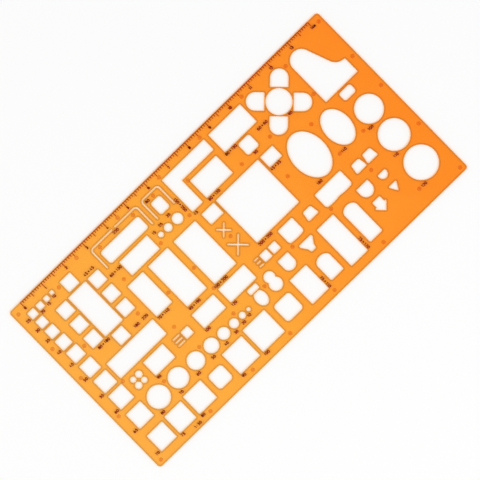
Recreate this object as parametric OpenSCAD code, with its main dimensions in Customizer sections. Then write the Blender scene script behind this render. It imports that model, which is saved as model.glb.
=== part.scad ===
// Furniture drawing template for floor plans.
// A flat sheet of plastic with the outlines of furniture cut through it. Small risers hold it
// off the paper, and a metre ruler is printed along its long edge.
// X runs along the ruler, Y points at the ruler edge and Z points up. The origin is under the
// middle of the sheet, on the plane that the risers stand on.
// Furniture is given in real sizes, in millimetres. The drawing scale turns a real size into
// the drawn one, and the pen allowance opens each cut-out so that the pen line comes out true.
// Places are shares of a metre on the ruler: along it from its zero, and down from its edge.

/* [Drawing scale] */
// Drawn size as a share of the real size, 0.02 for a plan at 1:50
drawing_scale_share = 0.02; // [0.016:0.001:0.024]
// How much longer and wider than the drawn line each cut-out is
pen_allowance = 0.8; // [0.4:0.1:1.2]

/* [Sheet] */
// Thickness of the sheet
sheet_thickness = 1.2; // [0.8:0.1:3]
// Radius of the four outer corners of the sheet
sheet_corner_radius = 2.5; // [0.5:0.5:6]
// Plastic below the line on which the lowest cut-outs stand
bottom_margin = 7.55; // [4:0.05:15]
// Radius that the cutter leaves in the corner of a plain cut-out
cutter_radius = 0.5; // [0.2:0.1:0.8]
// Plastic between two neighbouring cut-outs
web = 2.25; // [1.6:0.05:2.8]
// Plastic between two large neighbouring cut-outs
wide_web = 3.3; // [2.4:0.1:4]
// Width of the slots that draw a single line
slot_width = 0.9; // [0.5:0.1:1.2]

/* [Risers] */
// Height of the risers under the sheet
riser_height = 0.5; // [0.3:0.1:1]
// Diameter of a riser where it leaves the sheet
riser_diameter = 3; // [2:0.1:4]
// Diameter of the flat foot of a riser
riser_foot_diameter = 2.2; // [1:0.1:3]

/* [Ruler] */
// Number of metres on the ruler
ruler_metres = 14; // [14:1:20]
// Sheet before the zero of the ruler
ruler_start = 10.8; // [8:0.2:20]
// Sheet after the last mark of the ruler
ruler_end_margin = 9.8; // [6:0.2:20]
// Distance from the edge of the sheet to the base line
base_line_inset = 0.6; // [0.3:0.1:1.5]
// Thickness of the base line
base_line_width = 0.45; // [0.2:0.05:0.8]
// Thickness of the marks that hang from it
tick_width = 0.35; // [0.2:0.05:0.6]
// Height of the ink above the sheet
ink_thickness = 0.05; // [0.03:0.01:0.1]
// Length of the mark of a whole metre
metre_tick_length = 3.3; // [2.5:0.1:4.5]
// Length of the mark of half a metre
half_metre_tick_length = 2.6; // [1.8:0.1:3.4]
// Length of the mark of a tenth of a metre
decimetre_tick_length = 1.4; // [0.8:0.1:2]

/* [Dining room] */
// Long side of the dining table
dining_table_length = 1830; // [1400:10:2000]
// Short side of the dining table
dining_table_width = 800; // [600:50:1000]
// Side of a square chair
chair_side = 450; // [350:10:550]
// Long side of the sideboard
sideboard_length = 2200; // [1600:50:2300]
// Depth of the sideboard
sideboard_depth = 665; // [400:5:750]
// Diameter of the round table
round_table_diameter = 900; // [600:50:1100]
// Width and depth of an armchair at the round table
round_table_chair_side = 600; // [450:10:650]
// Plastic between the round table and its chairs
round_table_web = 0.9; // [0.6:0.1:2.5]

/* [Living room] */
// Overall width of the sofa
sofa_width = 2200; // [1900:50:2300]
// Width of the seat of the sofa
sofa_seat_width = 1800; // [1500:50:1850]
// Overall width of the armchair
armchair_width = 800; // [700:50:850]
// Width of the seat of the armchair
armchair_seat_width = 400; // [300:50:500]
// Depth of the sofa and the armchair, from the back to the front of the seat
sofa_depth = 830; // [750:10:900]
// Depth of their seats
sofa_seat_depth = 500; // [400:10:550]
// Radius of the corners of their seats
seat_corner_radius = 1.9; // [0.5:0.1:2]
// Radius of the corners of the line round their backs
back_corner_radius = 2.5; // [1:0.1:3]
// Bridge of plastic in the line behind the sofa
back_bridge = 2.6; // [1.5:0.1:5]
// Width of the low table
low_table_width = 1300; // [900:50:1400]
// Depth of the low table
low_table_depth = 600; // [400:50:650]
// Width of the corner sofa
corner_sofa_width = 2000; // [1800:50:2050]
// Depth of the corner sofa
corner_sofa_depth = 1500; // [1400:50:1550]
// Depth of the seats of the corner sofa
corner_sofa_seat_depth = 450; // [400:10:550]
// Width of the table in the corner sofa
corner_table_width = 1220; // [800:10:1250]
// Depth of the table in the corner sofa
corner_table_depth = 800; // [600:50:850]
// Plastic between the corner sofa and its table
corner_table_gap = 4; // [2:0.1:5]
// Width of the desk
desk_width = 1500; // [1200:50:1550]
// Depth of the desk
desk_depth = 800; // [600:50:850]
// Side of the seat at the desk
desk_seat_side = 500; // [400:10:550]
// Width of the grand piano
piano_width = 1500; // [1400:10:1540]
// Length of the grand piano
piano_length = 2000; // [1800:10:2020]
// Depth of the straight side beside the keys of the grand piano
piano_cheek = 600; // [500:10:700]
// Radius of the tail of the grand piano
piano_tail_radius = 380; // [300:10:420]
// Radius of the bend of the grand piano
piano_bend_radius = 470; // [350:10:600]
// Angle of the slanted side of the grand piano to its straight side
piano_slant = 20.5; // [15:0.5:24]
// Width of the piano bench
piano_bench_width = 500; // [400:10:700]
// Depth of the piano bench
piano_bench_depth = 300; // [250:10:350]
// Depth of the seats with a crowned front
crowned_seat_depth = 600; // [500:10:660]
// Width of the single crowned seat
crowned_seat_width = 650; // [500:10:750]
// Width of the double crowned seat
crowned_double_width = 1200; // [1000:10:1300]
// Width of the front of a tapered stool
stool_front = 435; // [350:5:450]
// Width of the back of a tapered stool
stool_back = 320; // [250:5:400]
// Depth of a tapered stool
stool_depth = 325; // [250:5:400]

/* [Bedroom] */
// Width of the cot
cot_width = 700; // [500:50:750]
// Length of the cot
cot_length = 1420; // [1000:10:1900]
// Width of the narrow bed
narrow_bed_width = 900; // [800:50:950]
// Length of the narrow bed
narrow_bed_length = 1920; // [1700:10:2000]
// Width of the single bed
single_bed_width = 1000; // [900:50:1100]
// Length of the beds of full length
bed_length = 2020; // [1800:10:2050]
// Width of the double bed
double_bed_width = 2000; // [1600:50:2050]
// Width of a bedside table
bedside_width = 550; // [350:10:570]
// Depth of a bedside table
bedside_depth = 450; // [300:10:500]
// Length of each slot of the small lamp cross
small_cross = 475; // [300:5:500]
// Length of each slot of the large lamp cross
large_cross = 710; // [500:10:730]
// Long axis of the large oval table
large_oval_length = 1800; // [1400:50:1850]
// Short axis of the large oval table
large_oval_width = 1250; // [900:50:1300]
// Long axis of the small oval table
small_oval_length = 1400; // [1100:50:1450]
// Short axis of the small oval table
small_oval_width = 950; // [700:50:1000]

/* [Kitchen] */
// Depth of the kitchen units
unit_depth = 600; // [500:10:620]
// Width of the small plain kitchen unit
unit_width_small = 900; // [600:50:1000]
// Width of the medium plain kitchen unit
unit_width_medium = 1000; // [800:50:1100]
// Width of the large plain kitchen unit
unit_width_large = 1200; // [1000:50:1300]
// Diameter of the large burners of the hob
large_burner = 210; // [150:5:220]
// Diameter of the small burners of the hob
small_burner = 170; // [100:5:180]
// Distance from burner to burner
burner_pitch = 275; // [250:5:350]
// Side of a sink bowl
sink_side = 285; // [200:5:300]
// Length of the lines of the long drainer
long_drainer = 265; // [150:5:280]
// Length of the lines of the short drainer
short_drainer = 140; // [100:5:200]
// Distance from line to line of a drainer
drainer_pitch = 142.5; // [100:2.5:180]
// Plastic between the parts of a sink
sink_web = 1.7; // [1:0.1:2.2]

/* [Bathroom] */
// Width of the cistern
cistern_width = 380; // [300:5:450]
// Depth of the cistern
cistern_depth = 165; // [120:5:180]
// Width of the toilet bowl
toilet_width = 395; // [300:5:420]
// Length of the oval that the toilet bowl is cut from
toilet_oval_length = 560; // [450:5:600]
// Length of the toilet bowl
toilet_length = 515; // [400:5:540]
// Diameter of the back of the bidet
bidet_back = 370; // [300:5:400]
// Diameter of the front of the bidet
bidet_front = 450; // [400:5:500]
// Distance between the centres of the two rounds of the bidet
bidet_pitch = 320; // [250:5:350]
// Width of the washbasin
basin_width = 445; // [400:5:500]
// Depth of the washbasin
basin_depth = 520; // [400:5:560]
// How far the front of the washbasin bows out
basin_bow = 220; // [100:5:230]
// Width of the urinal
urinal_width = 540; // [400:5:560]
// Depth of the urinal
urinal_depth = 410; // [300:5:450]
// Width of the lip of the urinal
urinal_lip = 230; // [150:5:300]
// Depth of the back of the urinal, to where the lip starts
urinal_back = 260; // [200:5:300]
// Depth of the upright sides of the back of the urinal
urinal_side = 45; // [20:5:100]
// Width of the shower tray
shower_width = 750; // [600:50:800]
// Length of the shower tray
shower_length = 1100; // [900:50:1150]
// Width of the hip bath
hip_bath_width = 555; // [450:5:570]
// Length of the hip bath
hip_bath_length = 850; // [700:10:900]
// How far the round end of a bath bows out
bath_bow = 220; // [100:10:250]
// Width of the bath rim
bath_rim_width = 750; // [650:50:800]
// Length of the bath rim
bath_rim_length = 1700; // [1500:50:1750]
// Width of the bath tub
bath_tub_width = 550; // [450:10:570]
// Length of the bath tub
bath_tub_length = 1450; // [1300:10:1480]

/* [Plain shapes] */
// Side of the smallest square
smallest_square = 100; // [80:5:120]
// Step from square to square
square_step = 50; // [40:1:52]
// Diameter of the smallest circle
smallest_circle = 100; // [80:5:120]
// Step from circle to circle
circle_step = 100; // [80:2:104]
// Diameter of the smallest of the circles beside the low table
smallest_pot = 150; // [100:5:180]
// Radius of the corners of the softer squares
soft_square_radius = 2.6; // [1:0.1:4]
// Side of the small soft square
small_soft_square = 605; // [500:5:640]
// Side of the large soft square
large_soft_square = 720; // [600:5:740]

/* [Signs] */
// Width of the large half round sign
large_half_round_width = 500; // [400:5:520]
// Height of the large half round sign
large_half_round_height = 445; // [350:5:450]
// Width of the small half round sign
small_half_round_width = 310; // [250:5:350]
// Height of the small half round sign
small_half_round_height = 210; // [180:5:250]
// Width of the head of the arrow
arrow_head_width = 520; // [400:5:540]
// Width of the shaft of the arrow
arrow_shaft_width = 315; // [200:5:350]
// Length of the shaft of the arrow
arrow_shaft_length = 190; // [100:5:220]
// Length of the head of the arrow
arrow_head_length = 250; // [200:5:280]
// Width of the triangle
triangle_width = 330; // [250:5:360]
// Height of the triangle
triangle_height = 285; // [200:5:300]

/* [Hidden] */
$fn = 72;

// A real metre, and what is left of it on the plan
real_metre = 1000;
metre = real_metre * drawing_scale_share;
decimetres_in_metre = 10;

// Lines that cut-outs stand or hang on, down from the ruler edge
bottom_line_share = 7.185;
seat_line_share = 0.44;
low_table_line_share = 1.755;
bed_line_share = 2.245;
kitchen_line_share = 4.84;
crowned_seat_line_share = 4.518;
circle_line_share = 5.755;
oval_line_share = 3.38;

sheet_length = ruler_start + ruler_metres * metre + ruler_end_margin;
sheet_width = bottom_line_share * metre + bottom_margin;
sheet_top = riser_height + sheet_thickness;

// Where a cut-out is held when it is placed: at its middle, an edge or a corner
middle = [0, 0];
top_left = [-1, 1];
top_middle = [0, 1];
bottom_left = [-1, -1];
bottom_middle = [0, -1];
middle_left = [-1, 0];
both_ways = [-1, 1];
three_rows = [-1, 0, 1];
diagonal = 45;
diagonals = [for (quarter = [0 : 3]) diagonal + quarter * 90];

// Curves drawn by a formula turn by no more than this angle or length at each point
facet_angle = 360 / $fn;
facet_length = 0.3;
least_facets = 3;

// The column of squares at the start of the sheet: its left side, and the top of each square.
// Each square is counted in steps above the smallest one.
column_left_share = -0.095;
column_top_shares = [0.472, 0.879, 1.333, 1.844, 2.408, 3.068, 3.775, 4.515, 5.405, 6.445];
column_first_step = 3;
column_sides = [for (i = [0 : len(column_top_shares) - 1]) square_side(column_first_step + i)];
bottom_square_steps = [13, 14];
large_square_steps = [16, 18];

// The row of circles, which starts with the wide webs, and the column of the largest ones
row_circles = 8;
row_wide_webs = 3;
column_circle_steps = [9, 10, 11];
pot_circles = 3;

// Places of the cut-outs that stand by themselves
dining_table_shares = [1.725, 2.015];
sideboard_shares = [0.66, 3.662];
sofa_share = 4.13;
armchair_share = 5.875;
pot_share = 5.175;
corner_sofa_shares = [6.52, 0.422];
desk_shares = [8.78, 0.425];
round_table_shares = [11.36, 1.315];
piano_shares = [12.525, 2.47];
bed_left_shares = [3.07, 4.075, 5.315, 6.675];
cross_share = 6.855;
small_cross_line_share = 3.17;
large_cross_line_share = 3.885;
oval_shares = [10.84, 12.215];
large_circle_shares = [13.435, 3.685];
hob_share = 1.08;
unit_left_shares = [1.605, 3.975, 5.265];
long_drainer_share = 2.89;
short_drainer_share = 6.85;
crowned_single_share = 8.51;
crowned_double_share = 10.585;
stool_line_share = 4.67;
stool_shares = [9.425, 11.78, 12.315];
row_circle_share = 1.165;
toilet_shares = [6.14, 5.265];
bidet_shares = [6.845, 5.465];
basin_shares = [7.665, 5.277];
urinal_shares = [8.625, 5.41];
shower_left_share = 7.265;
hip_bath_shares = [8.61, 7.055];
bath_rim_left_share = 9.17;
bath_tub_shares = [10.515, 7.045];
large_half_round_shares = [11.395, 5.415];
small_half_round_shares = [12.19, 5.57];
arrow_shares = [11.395, 6.12];
triangle_shares = [12.185, 6.125];
small_soft_square_shares = [3.185, 6.76];
large_soft_square_shares = [6.59, 6.67];
bottom_squares_share = 3.765;

// Rows of risers: how far down each row is, then how far along each riser is
riser_row_shares = [
    [0.275, [-0.335, 2.495, 4.5, 6.515, 8.5, 10.55, 14.31]],
    [0.585, [1.335, 3.335, 4.95, 5.925, 12.395]],
    [1.06, [7.16]],
    [1.965, [-0.33, 3.16, 4.96, 6.355, 8.91, 10.285, 12.415, 14.31]],
    [2.665, [0.545, 11.62]],
    [3.16, [2.67]],
    [3.385, [-0.33, 3.94, 5.185, 9.76, 14.32]],
    [3.49, [6.875]],
    [4.095, [11.615, 12.76]],
    [4.38, [3.25, 5.185]],
    [4.48, [0.645]],
    [5.265, [-0.315, 8.16, 10.05, 12.0, 14.32]],
    [5.495, [1.675, 3.39, 5.06]],
    [5.57, [6.5]],
    [6.91, [12.745]],
    [7.37, [-0.315, 2.105, 4.17, 5.995, 8.16, 10.55, 14.28]]
];

// Small shape values of single cut-outs
cistern_radius = 0.8;
toilet_gap = 1.1;
crowned_top_radius = 1;
crowned_bottom_radius = 2.5;
crown_radius = 40;
stool_back_radius = 1.3;
stool_front_radius = 0.8;
urinal_tip_radius = 2.1;
bath_foot_radius = 1;

// Real size to the size of its cut-out, and ruler place to sheet place
function cut(real) = real * drawing_scale_share + pen_allowance;
function cuts(real) = [for (size = real) cut(size)];
function at(shares) = [shares[0], -shares[1]] * metre;
function square_side(count) = cut(smallest_square + count * square_step);
function circle_width(count) = cut(smallest_circle + count * circle_step);

// Sum of the first values of a list
function sum(list, count) = count <= 0 ? 0 : list[count - 1] + sum(list, count - 1);

// The unit vector from one point to another
function toward(from, to) = (to - from) / norm(to - from);

// Everything cut through the sheet is drawn from the zero of the ruler, on the ruler edge
module on_plan() {
    translate([ruler_start - sheet_length / 2, sheet_width / 2])
        children();
}

// Points along the arc that rounds a corner. The directions lead to its two neighbours.
function corner_arc(corner, before, after, radius) = let (
        half = acos(before * after) / 2,
        turn = 180 - 2 * half,
        centre = corner + toward([0, 0], before + after) * radius / sin(half),
        first = corner + before * radius / tan(half) - centre,
        last = corner + after * radius / tan(half) - centre,
        arc_length = radius * turn * PI / 180,
        facets = max(least_facets, ceil(min(turn / facet_angle, arc_length / facet_length)))
    )
    radius <= 0 ? [corner] : [
        for (share = [0 : facets])
            centre
                + (first * sin(turn * (1 - share / facets)) + last * sin(turn * share / facets))
                / sin(turn)
    ];

// An outline with slanted sides and round corners, one radius for each of its points
module rounded_outline(points, radii) {
    count = len(points);
    polygon([
        for (i = [0 : count - 1])
            for (
                spot = corner_arc(
                    points[i],
                    toward(points[i], points[(i + count - 1) % count]),
                    toward(points[i], points[(i + 1) % count]),
                    radii[i]
                )
            )
                spot
    ]);
}

// A box with true arcs for its corners. The lower ones may have a radius of their own.
module rounded_box(size, radius, lower_radius) {
    x = size[0] / 2;
    y = size[1] / 2;
    polygon([
        [lower_radius - x, -y],
        [x - lower_radius, -y],
        [x, lower_radius - y],
        [x, y - radius],
        [x - radius, y],
        [radius - x, y],
        [-x, y - radius],
        [-x, lower_radius - y]
    ]);
    for (side = both_ways) {
        translate([side * (x - radius), y - radius])
            circle(r = radius);
        translate([side * (x - lower_radius), lower_radius - y])
            circle(r = lower_radius);
    }
}

// A box with round corners, held at one of its nine points
module box_cut(place, size, radius = cutter_radius, hold = middle) {
    translate([place[0] - hold[0] * size[0] / 2, place[1] - hold[1] * size[1] / 2])
        rounded_box(size, radius, radius);
}

module round_cut(place, diameter) {
    translate(place)
        circle(d = diameter);
}

// A slot with round ends, along X
module slot(place, length, hold = middle) {
    straight = length - slot_width;
    translate([place[0] - hold[0] * length / 2, place[1]]) {
        square([straight, slot_width], center = true);
        for (side = both_ways)
            translate([side * straight / 2, 0])
                circle(d = slot_width);
    }
}

// An oval with its long axis along X
module oval(long, short) {
    polygon([for (turn = [facet_angle : facet_angle : 360]) [long * cos(turn), short * sin(turn)] / 2]);
}

// A box whose bottom end bows out as half an oval, held at the middle of its top
module bowed_cut(place, width, length, bow, radius = cutter_radius) {
    x = width / 2;
    translate(place)
        polygon(concat(
            corner_arc([x, 0], [0, -1], [-1, 0], radius),
            corner_arc([-x, 0], [1, 0], [0, -1], radius),
            [for (turn = [180 : facet_angle : 360]) [x * cos(turn), bow * (1 + sin(turn)) - length]]
        ));
}

// A box whose bottom end is half a circle, held at the middle of its top
module round_end_cut(place, width, length) {
    radius = width / 2;
    intersection() {
        box_cut(place, [width, length], hold = top_middle);
        translate(place + [0, radius - length]) {
            translate([-radius, 0])
                square([width, length]);
            circle(r = radius);
        }
    }
}

// The line round the back and arms of a seat: a slot bent round two corners, open at the front
module back_line(place, width, depth, bridge) {
    arm = width / 2;
    corner = arm - back_corner_radius;
    outer = back_corner_radius + slot_width / 2;
    inner = back_corner_radius - slot_width / 2;
    translate(place)
        for (side = both_ways)
            on_side(side) {
                translate([bridge / 2, -slot_width / 2])
                    square([corner - bridge / 2, slot_width]);
                translate([corner, -back_corner_radius])
                    intersection() {
                        difference() {
                            circle(r = outer);
                            circle(r = inner);
                        }
                        square(outer);
                    }
                translate([arm - slot_width / 2, -depth])
                    square([slot_width, depth - back_corner_radius]);
                translate([arm, -depth])
                    circle(d = slot_width);
            }
}

// What lies right of the middle line, or its mirror image on the left
module on_side(side) {
    mirror([side < 0 ? 1 : 0, 0])
        children();
}

// A seat with the line of its back and arms round it
module seat_with_back(share, width, seat_width, bridge) {
    place = at([share, seat_line_share]);
    depth = sofa_depth * drawing_scale_share;
    back_line(place, width * drawing_scale_share, depth, bridge);
    box_cut(
        place - [0, depth],
        cuts([seat_width, sofa_seat_depth]),
        seat_corner_radius,
        bottom_middle
    );
}

// Squares that grow down the start of the sheet, with three small ones beside the first
module square_cuts() {
    left = at([column_left_share, 0])[0];
    for (i = [0 : len(column_top_shares) - 1])
        box_cut(
            [left, at([0, column_top_shares[i]])[1]],
            [column_sides[i], column_sides[i]],
            hold = top_left
        );
    small_sides = [for (i = [1 : column_first_step]) square_side(column_first_step - i)];
    for (i = [0 : len(small_sides) - 1])
        box_cut(
            [
                left + column_sides[0] + (i + 1) * web + sum(small_sides, i),
                at([0, column_top_shares[0]])[1]
            ],
            [small_sides[i], small_sides[i]],
            hold = top_left
        );
}

// Squares that stand side by side on a line
module square_row(left, line, steps) {
    sides = [for (step = steps) square_side(step)];
    for (i = [0 : len(sides) - 1])
        box_cut(
            [left + i * wide_web + sum(sides, i), line],
            [sides[i], sides[i]],
            hold = bottom_left
        );
}

// Squares that go on along the bottom line, after the largest of the column
module bottom_square_cuts() {
    line = at([0, bottom_line_share])[1];
    after_column = at([column_left_share, 0])[0] + column_sides[len(column_sides) - 1];
    square_row(after_column + wide_web, line, bottom_square_steps);
    square_row(at([bottom_squares_share, 0])[0], line, large_square_steps);
    small_soft = cut(small_soft_square);
    large_soft = cut(large_soft_square);
    box_cut(at(small_soft_square_shares), [small_soft, small_soft], soft_square_radius);
    box_cut(at(large_soft_square_shares), [large_soft, large_soft], soft_square_radius);
}

// Circles in a row, and the largest in a column at the end of the sheet
module circle_cuts() {
    row = [for (i = [1 : row_circles]) circle_width(row_circles - i)];
    row_webs = [for (i = [0 : row_circles - 1]) i < row_wide_webs ? wide_web : web];
    for (i = [0 : row_circles - 1])
        round_cut(
            at([row_circle_share, circle_line_share])
                + [sum(row, i) + sum(row_webs, i) + (row[i] - row[0]) / 2, 0],
            row[i]
        );
    column = [for (step = column_circle_steps) circle_width(step)];
    for (i = [0 : len(column) - 1])
        round_cut(
            at(large_circle_shares)
                - [0, sum(column, i) + i * wide_web + (column[i] - column[0]) / 2],
            column[i]
        );
}

// A table with chairs at its sides and ends. The outer chairs are flush with its ends.
module dining_cuts() {
    centre = at(dining_table_shares);
    table = cuts([dining_table_width, dining_table_length]);
    chair = cut(chair_side);
    box_cut(centre, table);
    for (side = both_ways) {
        for (row = three_rows)
            box_cut(
                centre + [side * (table[0] / 2 + web + chair / 2), row * (table[1] - chair) / 2],
                [chair, chair]
            );
        box_cut(centre + [0, side * (table[1] / 2 + web + chair / 2)], [chair, chair]);
    }
    box_cut(at(sideboard_shares), cuts([sideboard_length, sideboard_depth]), hold = top_left);
}

// A round table with four armchairs on its diagonals
module round_table_cuts() {
    table = cut(round_table_diameter);
    side = cut(round_table_chair_side);
    round_cut(at(round_table_shares), table);
    for (turn = diagonals)
        translate(at(round_table_shares))
            rotate(turn)
                round_end_cut([0, -table / 2 - round_table_web], side, side);
}

// The sofa and the armchair, with the low table and a row of plant pots below them
module sofa_cuts() {
    seat_with_back(sofa_share, sofa_width, sofa_seat_width, back_bridge);
    seat_with_back(armchair_share, armchair_width, armchair_seat_width, 0);
    box_cut(at([sofa_share, low_table_line_share]), cuts([low_table_width, low_table_depth]));
    pots = [for (i = [0 : pot_circles - 1]) cut(smallest_pot + i * circle_step)];
    for (i = [0 : pot_circles - 1])
        round_cut(
            at([pot_share, low_table_line_share])
                + [sum(pots, i) + i * web + (pots[i] - pots[0]) / 2, 0],
            pots[i]
        );
}

// The corner sofa with its table, and the desk with its seat
module corner_sofa_cuts() {
    corner = at(corner_sofa_shares);
    whole = cuts([corner_sofa_width, corner_sofa_depth]);
    seat = cut(corner_sofa_seat_depth);
    box_cut(corner, [whole[0], seat], hold = top_left);
    box_cut(corner, [seat, whole[1]], hold = top_left);
    box_cut(
        corner + [seat + corner_table_gap, -whole[1]],
        cuts([corner_table_width, corner_table_depth]),
        hold = bottom_left
    );
    desk = cuts([desk_width, desk_depth]);
    desk_seat = cut(desk_seat_side);
    box_cut(at(desk_shares), desk, hold = top_left);
    box_cut(
        at(desk_shares) + [desk[0] / 2, -desk[1] - web],
        [desk_seat, desk_seat],
        seat_corner_radius,
        top_middle
    );
}

// The grand piano: straight along its left side and its keys, with a slant that bends into the
// line of the cheek. The round tail fills the sharp tip where the slant meets the left side.
module piano_cuts() {
    width = cut(piano_width);
    length = cut(piano_length);
    cheek = cut(piano_cheek);
    tail_radius = cut(piano_tail_radius * 2) / 2;
    bend_radius = piano_bend_radius * drawing_scale_share - pen_allowance / 2;
    straight_to_slant = tail_radius / tan(piano_slant / 2);
    tip = length - tail_radius + straight_to_slant;
    translate(at(piano_shares)) {
        rounded_outline(
            [[0, 0], [width, 0], [width, cheek], [(tip - cheek) * tan(piano_slant), cheek], [0, tip]],
            [cutter_radius, cutter_radius, cutter_radius, bend_radius, tail_radius]
        );
        box_cut(
            [width / 2, -web],
            cuts([piano_bench_width, piano_bench_depth]),
            seat_corner_radius,
            top_middle
        );
    }
}

// The row of beds, which hang on one line, and two bedside tables at the double bed
module bed_cuts() {
    beds = [
        cuts([cot_width, cot_length]),
        cuts([narrow_bed_width, narrow_bed_length]),
        cuts([single_bed_width, bed_length])
    ];
    for (i = [0 : len(beds) - 1])
        box_cut(at([bed_left_shares[i], bed_line_share]), beds[i], hold = top_left);
    bedside = cuts([bedside_width, bedside_depth]);
    double_bed = cuts([double_bed_width, bed_length]);
    left = at([bed_left_shares[len(beds)], bed_line_share]);
    bed_left = left + [bedside[0] + web, 0];
    box_cut(left, bedside, hold = top_left);
    box_cut(bed_left, double_bed, hold = top_left);
    box_cut(bed_left + [double_bed[0] + web, 0], bedside, hold = top_left);
}

// Crosses for lamps, and the two oval tables
module cross_and_oval_cuts() {
    for (turn = both_ways * diagonal) {
        translate(at([cross_share, small_cross_line_share]))
            rotate(turn)
                slot(middle, cut(small_cross));
        translate(at([cross_share, large_cross_line_share]))
            rotate(turn)
                slot(middle, cut(large_cross));
    }
    translate(at([oval_shares[0], oval_line_share]))
        rotate(90)
            oval(cut(large_oval_length), cut(large_oval_width));
    translate(at([oval_shares[1], oval_line_share]))
        rotate(90)
            oval(cut(small_oval_length), cut(small_oval_width));
}

// The kitchen row, centred on one line: hob, plain units, and two sinks with drainers
module kitchen_cuts() {
    for (side = both_ways) {
        round_cut(
            at([hob_share, kitchen_line_share]) + [-side, side] * burner_pitch * drawing_scale_share / 2,
            cut(small_burner)
        );
        round_cut(
            at([hob_share, kitchen_line_share]) + [side, side] * burner_pitch * drawing_scale_share / 2,
            cut(large_burner)
        );
    }
    widths = [unit_width_small, unit_width_medium, unit_width_large];
    for (i = [0 : len(widths) - 1])
        box_cut(
            at([unit_left_shares[i], kitchen_line_share]),
            cuts([widths[i], unit_depth]),
            hold = middle_left
        );
    sink_cuts(long_drainer_share, cut(long_drainer), 1);
    sink_cuts(short_drainer_share, cut(short_drainer), 2);
}

// Three drainer lines with one or more square bowls beside them
module sink_cuts(share, drainer_length, bowls) {
    left = at([share, kitchen_line_share]);
    bowl = cut(sink_side);
    for (row = three_rows)
        slot(
            left + [0, row * drainer_pitch * drawing_scale_share],
            drainer_length,
            middle_left
        );
    for (i = [0 : bowls - 1])
        box_cut(
            left + [drainer_length + sink_web + i * (bowl + sink_web), 0],
            [bowl, bowl],
            hold = middle_left
        );
}

// A seat whose front is crowned once for each place to sit, held at the middle of its back
module crowned_seat(place, width, places) {
    depth = cut(crowned_seat_depth);
    translate(place - [0, depth / 2])
        intersection() {
            rounded_box([width, depth], crowned_top_radius, crowned_bottom_radius);
            for (i = [0 : places - 1])
                translate([((i + 1 / 2) / places - 1 / 2) * width, crown_radius - depth / 2])
                    circle(r = crown_radius);
        }
}

// Seats with a crowned front, single and double, and the tapered stools
module crowned_seat_cuts() {
    crowned_seat(at([crowned_single_share, crowned_seat_line_share]), cut(crowned_seat_width), 1);
    crowned_seat(at([crowned_double_share, crowned_seat_line_share]), cut(crowned_double_width), 2);
    front = cut(stool_front) / 2;
    back = cut(stool_back) / 2;
    stool = cut(stool_depth);
    for (share = stool_shares)
        translate(at([share, stool_line_share]))
            rounded_outline(
                [[-front, -stool], [front, -stool], [back, 0], [-back, 0]],
                [stool_front_radius, stool_front_radius, stool_back_radius, stool_back_radius]
            );
}

// Toilet, bidet, washbasin and urinal
module sanitary_cuts() {
    cistern = cuts([cistern_width, cistern_depth]);
    bowl = cut(toilet_length);
    oval_length = cut(toilet_oval_length);
    box_cut(at(toilet_shares), cistern, cistern_radius, top_middle);
    translate(at(toilet_shares) - [0, cistern[1] + toilet_gap])
        intersection() {
            translate([0, oval_length / 2 - bowl])
                rotate(90)
                    oval(oval_length, cut(toilet_width));
            translate([-oval_length, -2 * oval_length])
                square(2 * oval_length);
        }
    round_cut(at(bidet_shares), cut(bidet_back));
    round_cut(at(bidet_shares) - [0, bidet_pitch * drawing_scale_share], cut(bidet_front));
    bowed_cut(at(basin_shares), cut(basin_width), cut(basin_depth), basin_bow * drawing_scale_share);
    urinal_cut();
}

// A urinal: a wide back, slanted sides and a lip with a round tip
module urinal_cut() {
    wide = cut(urinal_width) / 2;
    lip = cut(urinal_lip) / 2;
    depth = cut(urinal_depth);
    back = cut(urinal_back);
    side = cut(urinal_side);
    translate(at(urinal_shares))
        rounded_outline(
            [
                [-urinal_tip_radius, -depth],
                [urinal_tip_radius, -depth],
                [lip, -back],
                [wide, -side],
                [wide, 0],
                [-wide, 0],
                [-wide, -side],
                [-lip, -back]
            ],
            [
                urinal_tip_radius / 2,
                urinal_tip_radius / 2,
                0,
                0,
                cutter_radius,
                cutter_radius,
                0,
                0
            ]
        );
}

// Shower tray, hip bath, bath rim and bath tub
module bath_cuts() {
    box_cut(
        at([shower_left_share, bottom_line_share]),
        cuts([shower_width, shower_length]),
        hold = bottom_left
    );
    box_cut(
        at([bath_rim_left_share, bottom_line_share]),
        cuts([bath_rim_width, bath_rim_length]),
        hold = bottom_left
    );
    bow = bath_bow * drawing_scale_share;
    translate(at(hip_bath_shares))
        rotate(180)
            bowed_cut(middle, cut(hip_bath_width), cut(hip_bath_length), bow, bath_foot_radius);
    translate(at(bath_tub_shares))
        rotate(180)
            bowed_cut(middle, cut(bath_tub_width), cut(bath_tub_length), bow, bath_foot_radius);
}

// Half round signs, the arrow and the triangle
module sign_cuts() {
    round_end_cut(
        at(large_half_round_shares),
        cut(large_half_round_width),
        cut(large_half_round_height)
    );
    round_end_cut(
        at(small_half_round_shares),
        cut(small_half_round_width),
        cut(small_half_round_height)
    );
    shaft = cut(arrow_shaft_width) / 2;
    head = cut(arrow_head_width) / 2;
    shoulder = cut(arrow_shaft_length);
    tip = shoulder + cut(arrow_head_length);
    translate(at(arrow_shares))
        rounded_outline(
            [
                [0, -tip],
                [head, -shoulder],
                [shaft, -shoulder],
                [shaft, 0],
                [-shaft, 0],
                [-shaft, -shoulder],
                [-head, -shoulder]
            ],
            [cutter_radius, cutter_radius, 0, cutter_radius, cutter_radius, 0, cutter_radius]
        );
    half = cut(triangle_width) / 2;
    translate(at(triangle_shares))
        rounded_outline(
            [[0, -cut(triangle_height)], [half, 0], [-half, 0]],
            [cutter_radius, cutter_radius, cutter_radius]
        );
}

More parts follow.
